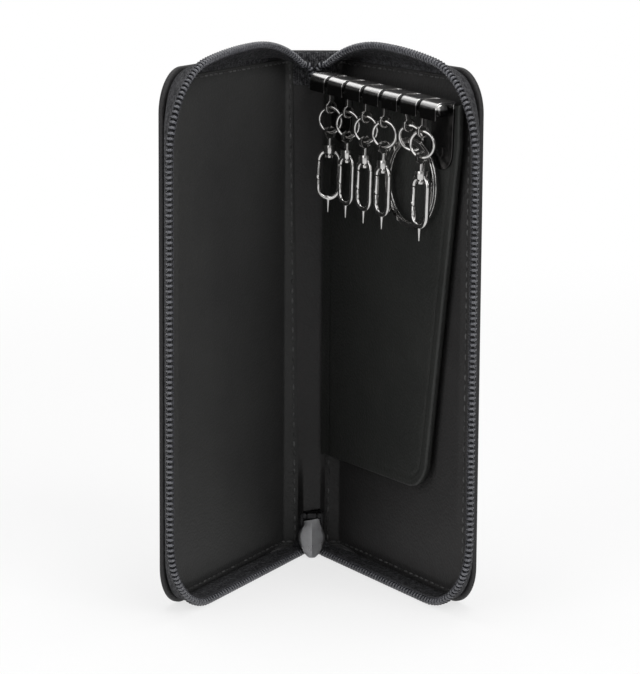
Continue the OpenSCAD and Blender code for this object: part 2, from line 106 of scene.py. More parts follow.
# Zip
RIM_INSET = 1.0
TAPE_SIDE = 7.5
TAPE_TOP = 2.8
TAPE_T = 0.5
TAPE_STEP = 1.5
TAPE_SWELL = 1.2
SWELL_RUN = 0.3
TAPE_ROOT_N = 1.15
TAPE_EDGE_N = 6.2
TAPE_UNDER = 1.6
COIL_W = 1.6
COIL_H = 1.15
COIL_SINK = 0.1
COIL_PITCH = 1.21
FILAMENT_R = 0.29
LOOP_SQUARENESS = 0.8
LEG_SLANT = 1.1
HEAD_FROM = 0.2
HEAD_FLAT = 0.1
HEAD_SWELL = 0.28
CORE_R = 0.34
SEWING_ROWS = (-0.5, 0.05)
SEWING_R = 0.13
SEWING_BEAD = 0.05
SEWING_SWAY = 0.08
SEWING_SINK = 0.06
COIL_FLOOR = 0.95
COIL_TOP_R = 20.0
COIL_FOOT_R = 18.0
ARCH_U = 28.0
ARCH_NEAR_R = 62.0
ARCH_FAR_R = 180.0
COIL_START_U = 2.6
COIL_END_U = 6.5

# Page
PAGE_ROOT = (3.0, -2.5)
PAGE_TURN = math.radians(28.5)
PAGE_START = 3.7
PAGE_W = 60.0
PAGE_TAPER = 13.0
PAGE_FOOT = 25.5
PAGE_TOP = 119.8
PAGE_SLOPE_DROP = 2.5
PAGE_UPRIGHT = 9.0
PAGE_R = 8.0
PAGE_T = 0.8
PAGE_RIM_SHARE = 0.25
PAGE_ROUND = 0.55
PAGE_WAVES = 0.06
PAGE_LEAD = 0.7
PAGE_FLAT_SHARE = 0.86
PAGE_HEAD_RUN = 4
CREASE_IN = 2.5
CREASE = (0.4, 0.17)
PAGE_LIP = 0.05

# Strip on which the page turns: a sewn bead, its fade into the strip and the seam beside it
BEAD_R = 0.7
BEAD_END = 0.3
BEAD_FADE = (0.3, 0.5, 0.13)
ROOT_HALF = 0.5
ROOT_SEAM = (3.0, 0.3, 0.14)

# Hook rail on the page
RAIL_START = 3.8
RAIL_OUT = 5.2
RAIL_Z = 118.7
RAIL_SLOPE = math.radians(2.5)

# Puller
PIVOT = (0.0, -5.35, 10.3)
BARREL_R = 0.85
BARREL_HALF = 1.2
NECK_R = 0.42
NECK_FOOT = 8.9
PULLER_BACK = -4.8
PULLER_EDGE_T = 0.4
PULLER_RIDGE_T = 0.9
PULLER_RIDGE_W = 3.4
PULLER_RIM_SHARE = 0.35
PULLER_ROUND = 0.3
PULLER_FOOT = 0.15
PULLER_TOP = 9.4
PULLER_LEAN = 2.3
PULLER_SLANT = 0.19
PULLER_SLANT_FROM = 6
PULLER_SLANT_RUN = 3
PULLER_CUT = 0.5
PULLER_HEIGHTS = (0.15, 0.25, 0.55, 1.1, 1.8, 2.7, 3.6, 4.5, 5.2, 5.9, 6.6, 7.2, 7.9, 8.6, 9.4)
PULLER_HALVES = (
    0.3, 0.75, 1.25, 1.8, 2.35, 2.85, 3.18, 3.36, 3.38, 3.28, 3.02, 2.66, 2.3, 2.12, 2.06,
)

# Lining strip of the spine, drawn out over the slider's head
STRIP_HALF_W = 5.4
STRIP_FOOT = 9.2
STRIP_HEAD = 117.6
STRIP_LOW = 0.1
STRIP_RISE = 0.16
STRIP_ROUND = 0.3
STRIP_WAVES = 0.02
HOOD_OUT = 3.3
HOOD_RISE = 2.3
HOOD_TOP = 27.0
HOOD_LOW = 12.2
HOOD_FLAT = 2.0
HOOD_FALL = 1.5
HOOD_CURVE = 1.5
HOOD_THICKER = 1.1

# Woven end of the zip over the spine
TAIL_HALF_W = 6.2
TAIL_FOOT = 116.6
TAIL_HEAD = CASE_H - 0.3
TAIL_LOW = 1.06
TAIL_RISE = 0.34
TAIL_ROUND = 0.6
TAIL_WAVES = 0.08
TAIL_SEAM = (122.3, 0.35, 0.25)


def smooth(x):
    """Smooth step from 0 to 1."""
    x = np.clip(x, 0, 1)
    return x * x * (3 - 2 * x)


def rounded(d, r):
    """Share of the full height at distance d from a rim with a round edge of radius r."""
    t = np.clip(d / r, 0, 1)
    return np.sqrt(1 - (1 - t) ** 2)


def groove(d, at, width, depth):
    """Depth of a groove that runs at a distance from a rim, below zero."""
    return -depth * np.exp(-(((d - at) / width) ** 2))


def edge_height(full, share, d, r):
    """Height of a face at distance d from its rim, where the given share of it is left."""
    return full * (share + (1 - share) * rounded(d, r))


def ripple(s, z):
    """Low waves of hand-worked leather, from -1 to 1."""
    return sum(np.sin(s / a + z / b + c) for a, b, c in WAVES) / len(WAVES)


# Frames of the leather

def on_leather(side, s, n, z):
    """Points of a cover's leather: s runs from the spine's middle outwards, n inwards."""
    angle = np.clip((s - FOLD_START) / FOLD_R, 0, TURN)
    flat = np.minimum(s, FOLD_START)
    past = np.maximum(s - FOLD_END, 0)
    x = flat + (FOLD_R - n) * np.sin(angle) + past * np.cos(angle)
    y = -FOLD_R + (FOLD_R - n) * np.cos(angle) - past * np.sin(angle)
    return np.stack([side * x, y, z + 0 * x], axis=-1)


def on_cover(u, n, z):
    """Points in the right cover's own frame: u from its fold, n inwards."""
    x = FOLD_X + u * math.sin(OPEN) - n * math.cos(OPEN)
    y = -u * math.cos(OPEN) - n * math.sin(OPEN)
    return np.stack([x, y, z + 0 * x], axis=-1)


def on_page(s, n, z):
    """Points of the page: s from its root, n towards the left cover."""
    along = (math.sin(PAGE_TURN), -math.cos(PAGE_TURN))
    out = (-math.cos(PAGE_TURN), -math.sin(PAGE_TURN))
    x = PAGE_ROOT[0] + s * along[0] + n * out[0]
    y = PAGE_ROOT[1] + s * along[1] + n * out[1]
    return np.stack([x, y, z + 0 * x], axis=-1)


# Meshes

def mesh_object(name, points, faces, uvs=None, sharp=None):
    """A smooth mesh of points in millimetres, with a texture place in millimetres per point."""
    mesh = bpy.data.meshes.new(name)
    mesh.from_pydata((np.asarray(points, float) * MM).tolist(), [], faces)
    work = bmesh.new()
    work.from_mesh(mesh)
    bmesh.ops.recalc_face_normals(work, faces=work.faces)
    work.to_mesh(mesh)
    work.free()
    if uvs is not None:
        layer = mesh.uv_layers.new(name="UVMap")
        corners = np.zeros(len(mesh.loops), int)
        mesh.loops.foreach_get("vertex_index", corners)
        layer.data.foreach_set("uv", np.asarray(uvs, float)[corners].ravel())
    mesh.polygons.foreach_set("use_smooth", [True] * len(mesh.polygons))
    if sharp:
        mesh.set_sharp_from_angle(angle=math.radians(sharp))
    obj = bpy.data.objects.new(name, mesh)
    bpy.context.scene.collection.objects.link(obj)
    return obj


def grid_faces(rows, cols, offset=0):
    """Squares between the points of a grid that is stored row by row."""
    corners = [offset + j * cols + i for j in range(rows - 1) for i in range(cols - 1)]
    return [(k, k + 1, k + cols + 1, k + cols) for k in corners]


def plate(name, top, bottom, uv, sharp=40):
    """A closed plate between two grids of points."""
    rows, cols = top.shape[:2]
    count = rows * cols
    points = np.concatenate([top.reshape(-1, 3), bottom.reshape(-1, 3)])
    faces = grid_faces(rows, cols) + grid_faces(rows, cols, count)
    rim = list(range(cols))
    rim += [j * cols + cols - 1 for j in range(1, rows)]
    rim += [(rows - 1) * cols + i for i in range(cols - 2, -1, -1)]
    rim += [j * cols for j in range(rows - 2, 0, -1)]
    for a, b in zip(rim, rim[1:] + rim[:1]):
        faces.append((a, b, b + count, a + count))
    flat = uv.reshape(-1, 2)
    return mesh_object(name, points, faces, np.concatenate([flat, flat]), sharp)


def unit(v):
    return v / np.maximum(np.linalg.norm(v, axis=-1, keepdims=True), 1e-12)


def tube(path, radii, guide, sides):
    """Points and faces of a round tube along a path. guide is never parallel to the path."""
    path = np.asarray(path, float)
    count = len(path)
    tangent = unit(np.gradient(path, axis=0))
    guide = np.broadcast_to(np.asarray(guide, float), path.shape)
    across = unit(np.cross(tangent, guide))
    up = np.cross(across, tangent)
    turns = np.linspace(0, 2 * math.pi, sides, endpoint=False)
    radii = np.broadcast_to(np.asarray(radii, float), (count,))
    ring = np.cos(turns)[None, :, None] * across[:, None, :]
    ring = ring + np.sin(turns)[None, :, None] * up[:, None, :]
    points = path[:, None, :] + radii[:, None, None] * ring
    faces = []
    for start in range(0, (count - 1) * sides, sides):
        for k in range(sides):
            after = start + (k + 1) % sides
            faces.append((start + k, after, after + sides, start + k + sides))
    faces.append(tuple(range(sides)))
    faces.append(tuple((count - 1) * sides + k for k in range(sides)))
    return points.reshape(-1, 3), faces


def joined(name, parts, sharp=None):
    """One mesh of several (points, faces) parts."""
    points, faces, start = [], [], 0
    for p, f in parts:
        points.append(p)
        faces += [tuple(i + start for i in face) for face in f]
        start += len(p)
    return mesh_object(name, np.concatenate(points), faces, None, sharp)


def lengths_along(path):
    """Length along a path at each of its points."""
    steps = np.linalg.norm(np.diff(path, axis=0), axis=1)
    return np.concatenate([[0], np.cumsum(steps)])


def resampled(path, values, places):
    """Values of several columns at places along a path."""
    along = lengths_along(path)
    columns = [np.interp(places, along, column) for column in values.T]
    return np.stack(columns, axis=1)


# Panels of leather

RIM_STEPS = np.radians(np.arange(0, 91, 4.5))


def panel_rows(foot, head, r, step=2.0):
    """Heights of a panel's rows, close together in its round corners."""
    low = foot + r * (1 - np.cos(RIM_STEPS))
    high = head - r * (1 - np.cos(RIM_STEPS[::-1]))
    count = max(2, int((head - foot - 2 * r) / step))
    return np.concatenate([low, np.linspace(foot + r, head - r, count + 1)[1:-1], high])


def panel_grid(starts, inner, edge, foot, head, r):
    """Grids of s and z for a panel with round corners at its free edge."""
    z = panel_rows(foot, head, r)
    dz = np.minimum(np.minimum(z - foot, head - z), r)
    right = edge - (r - np.sqrt(np.maximum(r * r - (r - dz) ** 2, 0)))
    shares = np.cos(RIM_STEPS[::-1])[1:]
    begin = inner[-1]
    rows = []
    for k, zk in enumerate(z):
        first = starts(zk)
        lead = first + (inner[0] - first) * np.linspace(0, 1, 5)[:-1]
        rows.append(np.concatenate([lead, inner, begin + (right[k] - begin) * shares]))
    s = np.array(rows)
    return s, np.repeat(z[:, None], s.shape[1], axis=1)


def rim_distance(s, z, edge, foot, head, r):
    """Distance from the rim of a panel that is open at the spine."""
    ds = edge - s
    dz = np.minimum(z - foot, head - z)
    arc = r - np.hypot(r - ds, r - dz)
    return np.where((ds < r) & (dz < r), arc, np.minimum(ds, dz))


FOLD_S = np.linspace(FOLD_START, FOLD_END, 13)


def inner_columns(edge, r):
    """Columns of a panel from its fold to the start of its round corners."""
    flat = np.linspace(FOLD_END, edge - r, 27)[1:]
    return np.concatenate([FOLD_S, flat])


def outer_low(s, z):
    """Outside face of the outer leather."""
    d = rim_distance(s, z, EDGE_S, 0, CASE_H, CORNER_R)
    swell = SHELL_SWELL * smooth((d - SHELL_SEAM) / SHELL_SWELL_RUN)
    swell = swell + SHELL_WAVES * ripple(s, z) * smooth(d / SHELL_WAVES_RUN)
    edge = edge_height(SHELL_HALF, RIM_SHARE, d, SHELL_ROUND)
    return -edge - swell - groove(d, SHELL_SEAM, *SHELL_GROOVE)


def outer_high(s, z):
    """Inside face of the outer leather."""
    d = rim_distance(s, z, EDGE_S, 0, CASE_H, CORNER_R)
    return edge_height(SHELL_HALF, RIM_SHARE, d, SHELL_ROUND)


def outer_leather(side, name):
    s, z = panel_grid(lambda zk: 0.0, inner_columns(EDGE_S, CORNER_R), EDGE_S, 0, CASE_H, CORNER_R)
    top = on_leather(side, s, outer_high(s, z), z)
    bottom = on_leather(side, s, outer_low(s, z), z)
    return plate(name, top, bottom, np.stack([s, z], axis=-1))


LINING_EDGE = EDGE_S - LINING_INSET
LINING_FOOT = LINING_INSET
LINING_HEAD = CASE_H - LINING_INSET


def lining_start(z):
    """Place of a lining's inner edge, which runs outwards with its height."""
    share = (z - LINING_FOOT) / (LINING_HEAD - LINING_FOOT)
    return LINING_START_FOOT + (LINING_START_TOP - LINING_START_FOOT) * share


def lining_distance(s, z):
    rim = rim_distance(s, z, LINING_EDGE, LINING_FOOT, LINING_HEAD, LINING_R)
    return np.minimum(rim, s - lining_start(z))


def lining_low(s, z):
    """Face of a lining that lies on its board."""
    rim = rim_distance(s, z, LINING_EDGE, LINING_FOOT, LINING_HEAD, LINING_R)
    raised = smooth((rim - BOARD_IN) / BOARD_RUN) * smooth((s - FOLD_END + FOLD_LEAD) / FOLD_RUN)
    return LINING_LOW + (LINING_HIGH - LINING_LOW) * raised


def lining_high(s, z):
    """Face of a lining that shows."""
    d = lining_distance(s, z)
    t = edge_height(LINING_T, RIM_SHARE, d, LINING_ROUND)
    waves = LINING_WAVES * ripple(s, z) * smooth((d - LINING_WAVES_IN) / LINING_WAVES_RUN)
    return lining_low(s, z) + t + waves + groove(d, SEAM_IN, *SEAM_GROOVE)


def lining(side, name):
    inner = inner_columns(LINING_EDGE, LINING_R)
    s, z = panel_grid(lining_start, inner, LINING_EDGE, LINING_FOOT, LINING_HEAD, LINING_R)
    top = on_leather(side, s, lining_high(s, z), z)
    bottom = on_leather(side, s, lining_low(s, z), z)
    return plate(name, top, bottom, np.stack([s, z], axis=-1))


def stitch_row(path, surface, inward=1):
    """Tubes of a row of stitches along a path of (s, z) points on a surface(s, z, lift)."""
    path = np.asarray(path, float)
    total = lengths_along(path)[-1]
    count = int(round(total / STITCH_PITCH))
    parts = []
    arch = np.sqrt(np.sin(math.pi * np.clip(STITCH_STATIONS, 0.02, 0.98)))
    lift = THREAD_R * (STITCH_ARCH * arch - STITCH_SINK)
    radii = THREAD_R * STITCH_RADII
    for k in range(count):
        middle = (k + 0.5) * total / count
        places = middle + (STITCH_STATIONS - 0.5) * STITCH_PITCH * STITCH_SHARE
        sz = resampled(path, path, places)
        points = surface(sz[:, 0], sz[:, 1], inward * lift)
        above = surface(sz[:, 0], sz[:, 1], inward * (lift + 1))
        parts.append(tube(points, radii, above - points, 8))
    return parts


def panel_path(edge, foot, head, r, inset, start_foot, start_top, closed):
    """Path of a seam: along the top, round both corners, along the foot and up the spine side."""
    turn = np.radians(np.arange(90, -91, -7.5))
    upper = turn[turn >= 0]
    lower = turn[turn <= 0]
    rr = r - inset
    top = [(start_top + inset, head - inset)]
    arc_high = [(edge - r + rr * math.cos(a), head - r + rr * math.sin(a)) for a in upper]
    arc_low = [(edge - r + rr * math.cos(a), foot + r + rr * math.sin(a)) for a in lower]
    foot_end = [(start_foot + inset, foot + inset)]
    path = top + arc_high + arc_low + foot_end
    return path + top if closed else path


# Zip: the tape's sewn rim and its coil edge, as matching stretches

def stretch_points(stretch, f):
    """Points and turns along a stretch: its centre moves while its radius turns."""
    c0, c1, r, a0, a1 = stretch
    a = np.radians(a0 + (a1 - a0) * f)
    c = np.asarray(c0)[None, :] + (np.asarray(c1) - np.asarray(c0))[None, :] * f[:, None]
    return c + r * np.stack([np.cos(a), np.sin(a)], axis=1), a


COIL_SIDE = COVER_W + TAPE_SIDE
COIL_TOP = CASE_H + TAPE_TOP
NEAR_C = (ARCH_U, COIL_TOP - ARCH_NEAR_R)
FAR_C = (ARCH_U, COIL_TOP - ARCH_FAR_R)
NEAR_ANGLE = 90 + math.degrees(math.asin((ARCH_U - COIL_START_U) / ARCH_NEAR_R))
TOP_U = COIL_SIDE - COIL_TOP_R
TOP_C = (TOP_U, FAR_C[1] + math.sqrt((ARCH_FAR_R - COIL_TOP_R) ** 2 - (TOP_U - ARCH_U) ** 2))
FAR_ANGLE = math.degrees(math.atan2(TOP_C[1] - FAR_C[1], TOP_U - ARCH_U))
FOOT_C = (COIL_SIDE - COIL_FOOT_R, COIL_FLOOR + COIL_FOOT_R)
COIL_LINE = [
    (NEAR_C, NEAR_C, ARCH_NEAR_R, NEAR_ANGLE, 90),
    (FAR_C, FAR_C, ARCH_FAR_R, 90, FAR_ANGLE),
    (TOP_C, TOP_C, COIL_TOP_R, FAR_ANGLE, 0),
    ((COIL_SIDE, TOP_C[1]), (COIL_SIDE, FOOT_C[1]), 0, 0, 0),
    (FOOT_C, FOOT_C, COIL_FOOT_R, 0, -90),
    ((FOOT_C[0], COIL_FLOOR), (COIL_END_U, COIL_FLOOR), 0, -90, -90),
]
RIM_R = CORNER_R - RIM_INSET
RIM_TOP = CASE_H - RIM_INSET
RIM_SIDE = COVER_W - RIM_INSET
RIM_TOP_C = (COVER_W - CORNER_R, CASE_H - CORNER_R)
RIM_FOOT_C = (COVER_W - CORNER_R, CORNER_R)
RIM_LINE = [
    ((COIL_START_U, RIM_TOP), (ARCH_U, RIM_TOP), 0, 90, 90),
    ((ARCH_U, RIM_TOP), (RIM_TOP_C[0], RIM_TOP), 0, 90, 90),
    (RIM_TOP_C, RIM_TOP_C, RIM_R, 90, 0),
    ((RIM_SIDE, RIM_TOP_C[1]), (RIM_SIDE, RIM_FOOT_C[1]), 0, 0, 0),
    (RIM_FOOT_C, RIM_FOOT_C, RIM_R, 0, -90),
    ((RIM_FOOT_C[0], RIM_INSET), (COIL_END_U, RIM_INSET), 0, -90, -90),
]
# Where the tape leaves the cover and runs in on the spine: rim point and coil point
TAPE_HEAD = [
    ((1.6, -1.5, 117.2), (0.85, -2.25, 116.6)),
    ((2.6, -1.5, 120.4), (1.15, -2.35, 118.9)),
    ((4.4, -1.7, 123.2), (2.0, -3.4, 121.8)),
]
TAPE_FOOT = [
    ((7.2, -3.0, 1.1), (3.6, -5.2, 1.0)),
    ((5.0, -1.8, 1.6), (2.2, -3.3, 1.6)),
    ((3.2, -1.6, 3.6), (1.5, -2.6, 3.9)),
    ((2.6, -1.6, 5.6), (1.25, -2.7, 5.8)),
]


def catmull(stations, steps):
    """Smooth rows through a list of rows."""
    p = np.asarray(stations, float)
    ends = np.concatenate([[2 * p[0] - p[1]], p, [2 * p[-1] - p[-2]]])
    t = np.linspace(0, 1, steps, endpoint=False)[:, None]
    rows = []
    for k in range(len(p) - 1):
        a, b, c, d = ends[k:k + 4]
        square = 2 * a - 5 * b + 4 * c - d
        cube = 3 * b - a - 3 * c + d
        rows.append(0.5 * (2 * b + (c - a) * t + square * t**2 + cube * t**3))
    rows.append(p[-1:])
    return np.concatenate(rows)


def tape_stations():
    """Rows of rim, coil, outward direction and swell, from the spine's top to its foot."""
    rows = []
    for coil, rim in zip(COIL_LINE, RIM_LINE):
        turned = coil[2] * math.radians(abs(coil[4] - coil[3]))
        long = np.linalg.norm(np.subtract(coil[1], coil[0])) + turned
        f = np.linspace(0, 1, max(6, int(long / TAPE_STEP)))[(1 if rows else 0):]
        edge, _ = stretch_points(coil, f)
        root, a = stretch_points(rim, f)
        out = np.stack([np.cos(a), np.sin(a)], axis=1)
        reach = np.sum((edge - root) * out, axis=1)
        zero = on_cover(np.zeros(len(f)), 0, np.zeros(len(f)))
        way = on_cover(out[:, 0], 0, out[:, 1]) - zero
        rows.append(np.concatenate([
            on_cover(root[:, 0], TAPE_ROOT_N, root[:, 1]),
            on_cover(edge[:, 0], TAPE_EDGE_N, edge[:, 1]),
            way,
            (TAPE_SWELL * reach / TAPE_SIDE)[:, None],
        ], axis=1))
    rows = np.concatenate(rows)

    def ends(listed, like):
        return [list(r) + list(e) + list(like[6:9]) + [0.0] for r, e in listed]

    head = catmull(ends(TAPE_HEAD, rows[0]) + [rows[0], rows[1]], 8)[:-9]
    foot = catmull([rows[-2], rows[-1]] + ends(TAPE_FOOT, rows[-1]), 8)[9:]
    return np.concatenate([head, rows, foot])


STATIONS = tape_stations()
ROOT, EDGE, WAY, SWELL = (STATIONS[:, a:b] for a, b in ((0, 3), (3, 6), (6, 9), (9, 10)))


def mirrored(side, points):
    return points * np.array([side, 1, 1])


def zip_tape(side, name):
    """Woven tape from under the cover's rim to its coil, swelling outwards between them."""
    control = (ROOT + EDGE) / 2 + 2 * SWELL * WAY
    under = ROOT - TAPE_UNDER * unit(WAY) * smooth(SWELL / SWELL_RUN) - 0.01 * unit(EDGE - ROOT)
    t = np.linspace(0, 1, 11)
    columns = [under + (ROOT - under) * k for k in (0, 0.5)]
    columns += [ROOT * (1 - k) ** 2 + 2 * control * k * (1 - k) + EDGE * k * k for k in t]
    middle = np.stack(columns, axis=1)
    along = np.gradient(middle, axis=0)
    across = np.gradient(middle, axis=1)
    face = unit(np.cross(along, across))
    steps = np.linalg.norm(np.diff(middle, axis=1), axis=2)
    width = np.concatenate([np.zeros((len(middle), 1)), np.cumsum(steps, axis=1)], axis=1)
    long = np.repeat(lengths_along(EDGE)[:, None], middle.shape[1], axis=1)
    top = mirrored(side, middle + face * TAPE_T / 2)
    bottom = mirrored(side, middle - face * TAPE_T / 2)
    return plate(name, top, bottom, np.stack([long, width], axis=-1), 60)


def coil_frame(per_pitch):
    """Points of the coil's middle line with its cross, upright and onward directions and turns."""
    lean = unit(EDGE - ROOT)
    middle = EDGE + lean * (COIL_W / 2 - COIL_SINK)
    total = lengths_along(middle)[-1]
    pitches = int(total / COIL_PITCH)
    places = np.linspace(0, total, pitches * per_pitch + 1)
    centre = resampled(middle, middle, places)
    lean = unit(resampled(middle, lean, places))
    way = unit(np.gradient(centre, axis=0))
    up = unit(np.cross(way, lean))
    lean = np.cross(up, way)
    return centre, lean, up, way, np.arange(len(places)) * 2 * math.pi / per_pitch


def zip_coil(side, name):
    """Coil of one filament, with a flattened and swollen head on each loop."""
    centre, lean, up, way, phase = coil_frame(14)
    cross = np.sign(np.cos(phase)) * np.abs(np.cos(phase)) ** LOOP_SQUARENESS
    heads = smooth((np.cos(phase) - HEAD_FROM) / (1 - HEAD_FROM))
    slant = -LEG_SLANT * COIL_PITCH / (2 * math.pi) * np.sin(phase)
    lift = (COIL_H / 2 - HEAD_FLAT * heads) * np.sin(phase)
    path = centre + lean * (COIL_W / 2 * cross)[:, None]
    path = path + up * lift[:, None] + way * slant[:, None]
    radii = FILAMENT_R * (1 + HEAD_SWELL * heads)
    points, faces = tube(mirrored(side, path), radii, mirrored(side, way), 7)
    return mesh_object(name, points, faces)


def coil_core(side, name):
    """Cord that fills the coil's middle; its near-black colour is painted shade between the loops.
    """
    centre, _, up, _, _ = coil_frame(2)
    points, faces = tube(mirrored(side, centre), CORE_R, mirrored(side, up), 8)
    return mesh_object(name, points, faces)


def coil_thread(side, name):
    """Two sewing threads that hold the coil on the tape, on both faces."""
    centre, lean, up, _, phase = coil_frame(8)
    parts = []
    for face in (-1, 1):
        for row, shift in zip(SEWING_ROWS, (0, math.pi)):
            beads = SEWING_BEAD * np.cos(phase + shift)
            sway = COIL_W * row / 2 + SEWING_SWAY * np.sin(phase + shift)
            lift = face * (COIL_H / 2 + FILAMENT_R - SEWING_SINK + beads)
            path = centre + lean * sway[:, None] + up * lift[:, None]
            radii = SEWING_R + beads
            parts.append(tube(mirrored(side, path), radii, mirrored(side, up), 6))
    return joined(name, parts)


# Page

def page_edge(z):
    """Place of the page's free edge above its round corner, and its lean."""
    bend_z = PAGE_TOP - PAGE_SLOPE_DROP - PAGE_UPRIGHT
    lean = math.atan(PAGE_TAPER / (bend_z - PAGE_FOOT))
    return PAGE_W - np.maximum(bend_z - z, 0) * math.tan(lean), lean


PAGE_LEAN = page_edge(np.zeros(1))[1]
PAGE_C = (
    float(page_edge(np.array(PAGE_FOOT + PAGE_R))[0]) - PAGE_R / math.cos(PAGE_LEAN),
    PAGE_FOOT + PAGE_R,
)


def page_limit(z):
    """Place of the page's free edge at height z, with its round lower corner."""
    line, lean = page_edge(z)
    dz = np.clip(PAGE_C[1] - z, -PAGE_R * math.sin(lean), PAGE_R)
    arc = PAGE_C[0] + np.sqrt(np.maximum(PAGE_R**2 - dz**2, 0))
    return np.where(z < PAGE_C[1], np.minimum(line, arc), line)


def page_distance(s, z):
    """Distance from the page's rim, apart from its root."""
    line, lean = page_edge(z)
    ds = (line - s) * math.cos(lean)
    dz = z - PAGE_FOOT
    arc = PAGE_R - np.hypot(s - PAGE_C[0], z - PAGE_C[1])
    corner = (s > PAGE_C[0]) & (z < PAGE_C[1])
    top = PAGE_TOP - PAGE_SLOPE_DROP * s / PAGE_W - z
    return np.minimum(np.where(corner, np.minimum(arc, ds), np.minimum(ds, dz)), top)


def page_rise(s, z):
    """Height of one face of the page over its middle."""
    d = page_distance(s, z)
    inner = s - PAGE_START
    body = edge_height(PAGE_T, PAGE_RIM_SHARE, np.minimum(d, inner), PAGE_ROUND)
    waves = PAGE_WAVES * ripple(s * 1.2, z) * smooth((d - 3) / 6)
    crease = groove(d, CREASE_IN, *CREASE)
    lip = PAGE_LIP * smooth(d / 0.6) * smooth((CREASE_IN - d) / 0.8)
    return body + waves + crease + lip


def page_leather(face, name):
    """Leather of one face of the page, from its middle plane to the face."""
    low = PAGE_FOOT + PAGE_R * (1 - np.cos(RIM_STEPS[:-1]))
    middle = np.linspace(PAGE_FOOT + PAGE_R, PAGE_TOP - PAGE_HEAD_RUN, 46)
    closer = np.array([0.8, 0.6, 0.45, 0.32, 0.22, 0.14, 0.08, 0.035, 0.01, 0])
    high = PAGE_TOP - PAGE_HEAD_RUN * closer
    row_z = np.concatenate([low, middle, high])
    mid_z = (PAGE_FOOT + PAGE_TOP) / 2

    def sloped(z, s):
        drop = PAGE_SLOPE_DROP * s / PAGE_W
        return np.where(z > mid_z, z - drop * (z - mid_z) / (PAGE_TOP - mid_z), z)

    right = page_limit(sloped(row_z, PAGE_W))
    begin = PAGE_START + PAGE_LEAD
    lead = PAGE_START + PAGE_LEAD * np.array([0, 0.05, 0.2, 0.45, 0.7])
    rows = []
    for k in range(len(row_z)):
        flat = begin + (right[k] - begin) * PAGE_FLAT_SHARE * np.linspace(0, 1, 26)
        near = flat[-1] + (right[k] - flat[-1]) * np.cos(RIM_STEPS[::-1])[1:]
        rows.append(np.concatenate([lead, flat, near]))
    s = np.array(rows)
    z = sloped(row_z[:, None], s)
    top = on_page(s, face * page_rise(s, z), z)
    bottom = on_page(s, 0 * s, z)
    return plate(name, top, bottom, np.stack([s, z], axis=-1))


def page_fold(name):
    """Folded strip on which the page turns, thicker along its sewn bead."""
    z = np.linspace(PAGE_FOOT, PAGE_TOP - PAGE_SLOPE_DROP, 49)
    s = np.array([
        -0.7, -0.66, -0.5, -0.25, 0, 0.35, 0.7, 1.2, 1.8, 2.3, 2.7, 3.0, 3.3, 3.6, 3.9, 4.3
    ])
    bead = np.sqrt(np.maximum(BEAD_R**2 - np.minimum(s, BEAD_END) ** 2, 0.02))
    half = np.where(s < BEAD_END, bead, ROOT_HALF - groove(s, *BEAD_FADE))
    half = half + groove(s, *ROOT_SEAM)
    ss, zz = np.meshgrid(s, z)
    nn = np.repeat(half[None, :], len(z), axis=0)
    return plate(name, on_page(ss, nn, zz), on_page(ss, -nn, zz), np.stack([ss, zz], axis=-1))


def spine_strip(name):
    """Lining strip inside the spine: its slanted lower edge stands out over the slider's head."""
    x = np.linspace(-STRIP_HALF_W, STRIP_HALF_W, 49)
    hood = 1 - smooth((np.abs(x) - HOOD_FLAT) / HOOD_FALL)
    near = np.concatenate([[0, 0.001, 0.003], np.linspace(0.006, 0.1, 24)])
    share = np.concatenate([near, np.linspace(0.1, 0.99, 55)[1:], [0.997, 0.999, 1]])
    foot = STRIP_FOOT + PULLER_SLANT * x + HOOD_RISE * hood
    z = foot[None, :] + (STRIP_HEAD - foot[None, :]) * share[:, None]
    xx = np.repeat(x[None, :], len(share), axis=0)
    d = np.minimum(z - foot[None, :], STRIP_HEAD - z)
    drop = smooth((HOOD_TOP - z) / (HOOD_TOP - HOOD_LOW))
    out = HOOD_OUT * hood[None, :] * drop**HOOD_CURVE
    high = SHELL_HALF + STRIP_LOW + STRIP_RISE * rounded(d, STRIP_ROUND)
    high = high + STRIP_WAVES * np.sin(z / 11)
    top = np.stack([xx, -high - HOOD_THICKER * out, z], axis=-1)
    bottom = np.stack([xx, -SHELL_HALF - out, z], axis=-1)
    return plate(name, top, bottom, np.stack([xx, z], axis=-1))


def zip_tail(name):
    """Woven end of the zip, sewn flat over the top of the spine."""
    x = np.linspace(-TAIL_HALF_W, TAIL_HALF_W, 25)
    share = np.concatenate([[0, 0.02, 0.05], np.linspace(0.1, 0.9, 20), [0.95, 0.98, 1]])
    z = TAIL_FOOT + (TAIL_HEAD - TAIL_FOOT) * share
    xx, zz = np.meshgrid(x, z)
    d = np.minimum(np.minimum(zz - TAIL_FOOT, TAIL_HEAD - zz), TAIL_HALF_W - np.abs(xx))
    waves = TAIL_WAVES * np.cos(xx * 1.1) * smooth(d / 2)
    high = TAIL_LOW + TAIL_RISE * rounded(d, TAIL_ROUND) + waves + groove(zz, *TAIL_SEAM)
    top = np.stack([xx, -high, zz], axis=-1)
    bottom = np.stack([xx, -SHELL_HALF + 0 * xx, zz], axis=-1)
    return plate(name, top, bottom, np.stack([xx, zz], axis=-1))


def puller_width(z):
    """Half width of the puller's shield at height z: narrow neck, full flanks, rounded tip."""
    return np.interp(z, PULLER_HEIGHTS, PULLER_HALVES)


